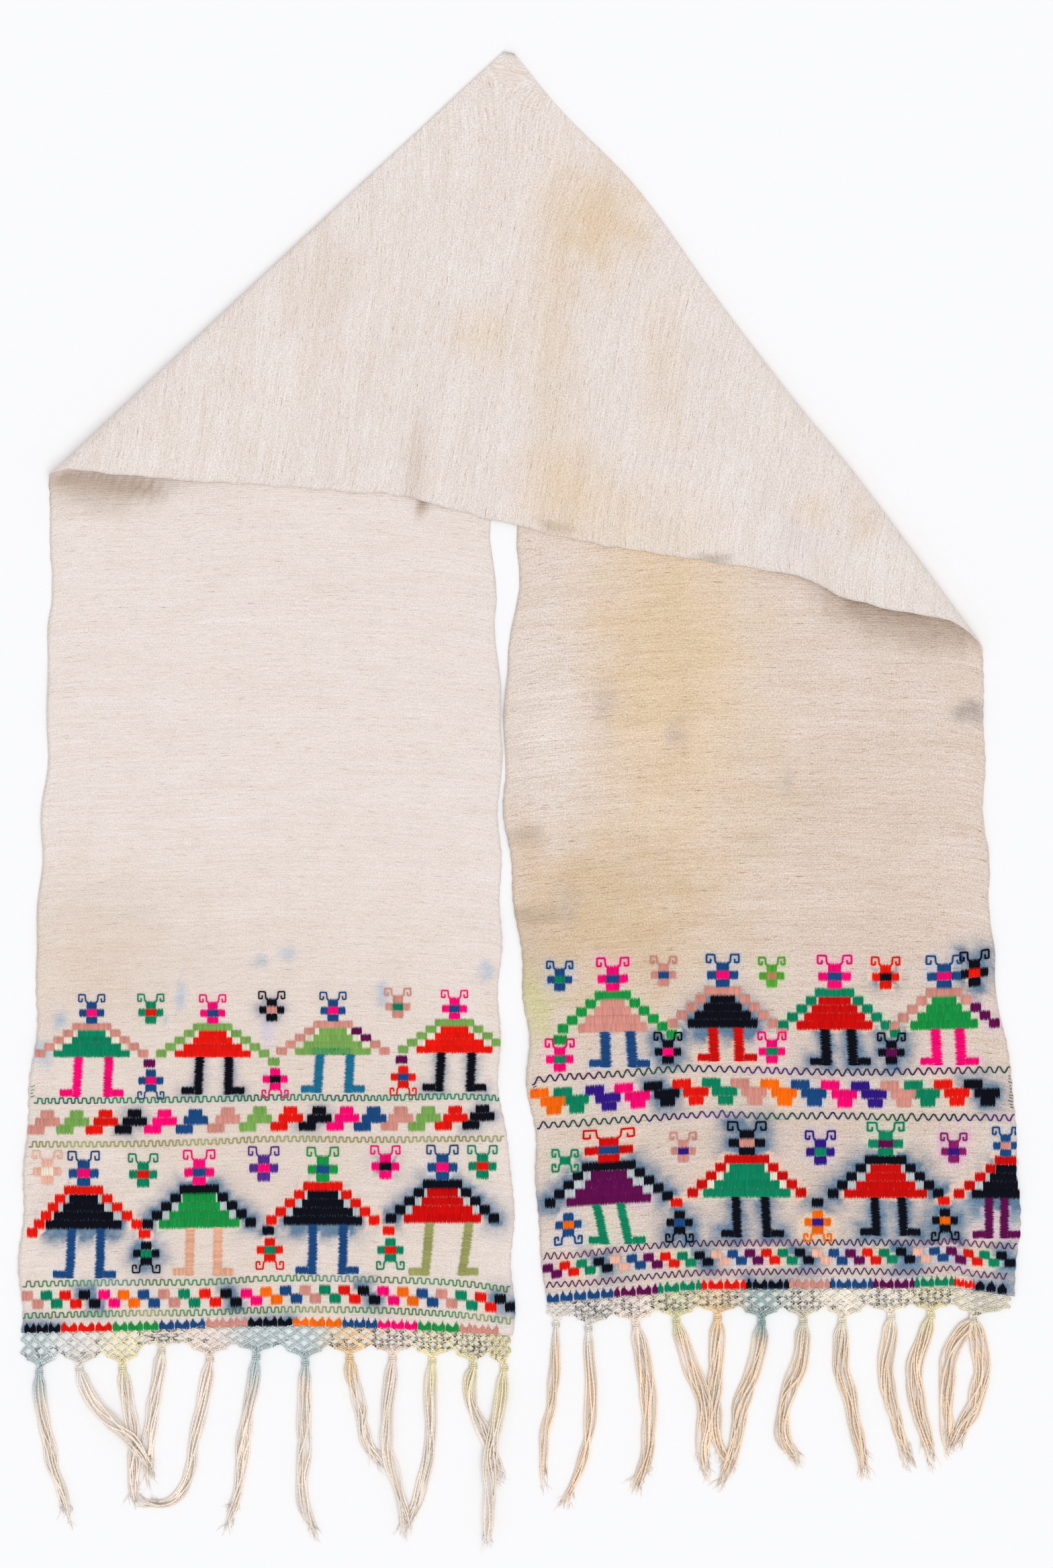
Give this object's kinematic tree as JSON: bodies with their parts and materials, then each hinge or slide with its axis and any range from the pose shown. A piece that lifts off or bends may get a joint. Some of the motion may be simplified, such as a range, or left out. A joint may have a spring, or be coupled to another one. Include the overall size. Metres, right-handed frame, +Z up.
{
  "type": "rushnyk",
  "caption": "Long hand-woven ceremonial towel folded to a gable and laid flat, embroidered at both ends, with netted headings and tassels.",
  "frame": {"origin": "centre of the towel's outline, on the surface that it lies on", "axes": "+X across both legs, from the left leg to the right one; +Y along the legs, from the fringes to the folded peak; +Z up, square to the surface"},
  "size_m": [0.8206, 1.2162, 0.0192],
  "materials": {
    "cloth": "matte undyed homespun in a weft-ribbed plain weave, aged to cream, with dyed wool stitching at both ends",
    "netting": "matte paired warp yarns knotted into small diamonds, tinted here and there by dye that has run",
    "tassel_yarn": "matte plied yarn, cream to tan, frayed at the ends"
  },
  "bodies": {
    "root": {"cloth": "cloth", "net_left": "netting", "net_right": "netting", "tassel_left_01": "tassel_yarn", "tassel_left_02": "tassel_yarn", "tassel_left_03": "tassel_yarn", "tassel_left_04": "tassel_yarn", "tassel_left_05": "tassel_yarn", "tassel_left_06": "tassel_yarn", "tassel_left_07": "tassel_yarn", "tassel_left_08": "tassel_yarn", "tassel_left_09": "tassel_yarn", "tassel_left_10": "tassel_yarn", "tassel_left_11": "tassel_yarn", "tassel_left_12": "tassel_yarn", "tassel_right_01": "tassel_yarn", "tassel_right_02": "tassel_yarn", "tassel_right_03": "tassel_yarn", "tassel_right_04": "tassel_yarn", "tassel_right_05": "tassel_yarn", "tassel_right_06": "tassel_yarn", "tassel_right_07": "tassel_yarn", "tassel_right_08": "tassel_yarn", "tassel_right_09": "tassel_yarn", "tassel_right_10": "tassel_yarn", "tassel_right_11": "tassel_yarn"}
  },
  "joints": []
}
